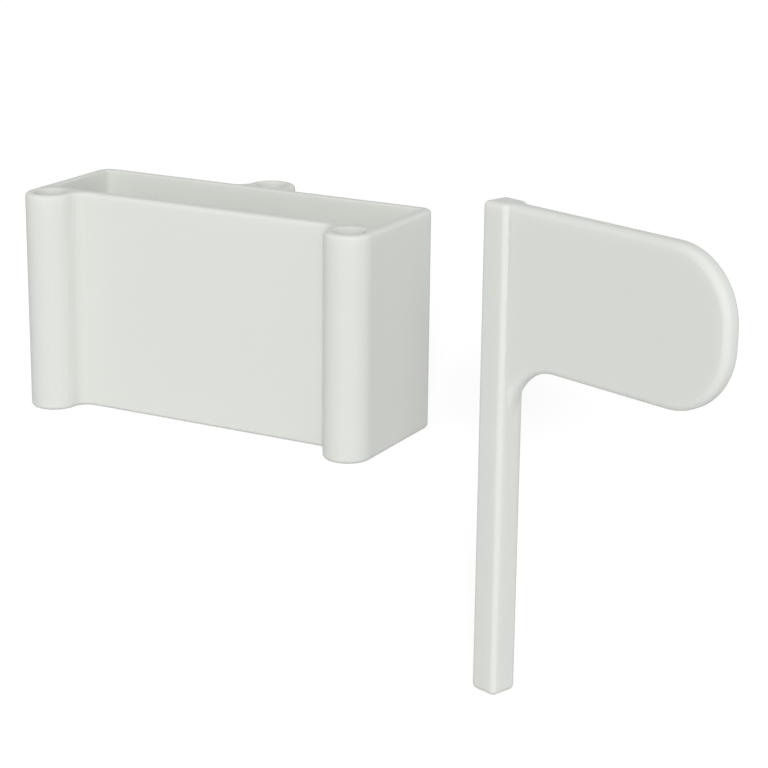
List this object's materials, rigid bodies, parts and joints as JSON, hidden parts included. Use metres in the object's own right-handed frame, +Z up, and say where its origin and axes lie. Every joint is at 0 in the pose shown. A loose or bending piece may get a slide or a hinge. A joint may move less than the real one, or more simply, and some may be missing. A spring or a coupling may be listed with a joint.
{
  "type": "stair gate latch",
  "caption": "Stair gate latch: an open rectangular sleeve with round pin bosses that slips over a gate board, and a loose latch with a square pin and a rounded flag.",
  "frame": {"origin": "middle of the sleeve's board pocket at its open lower end, on the surface that the sleeve and the latch stand on", "axes": "+Z up along the pocket and the pin bores, +X along the pocket's width, +Y from the side with the bosses on its corners to the side with the boss in its middle"},
  "size_m": [0.1865, 0.1342, 0.0743],
  "materials": {
    "plastic": "satin off-white moulded plastic"
  },
  "bodies": {
    "sleeve": {"sleeve": "plastic"},
    "latch": {"latch": "plastic"}
  },
  "joints": [
    {"name": "latch_swing", "type": "hinge", "parent": "sleeve", "child": "latch", "pos_m": [0.107, -0.0994, 0], "axis": [0, 0, 1], "range_deg": [-165, 65]}
  ]
}
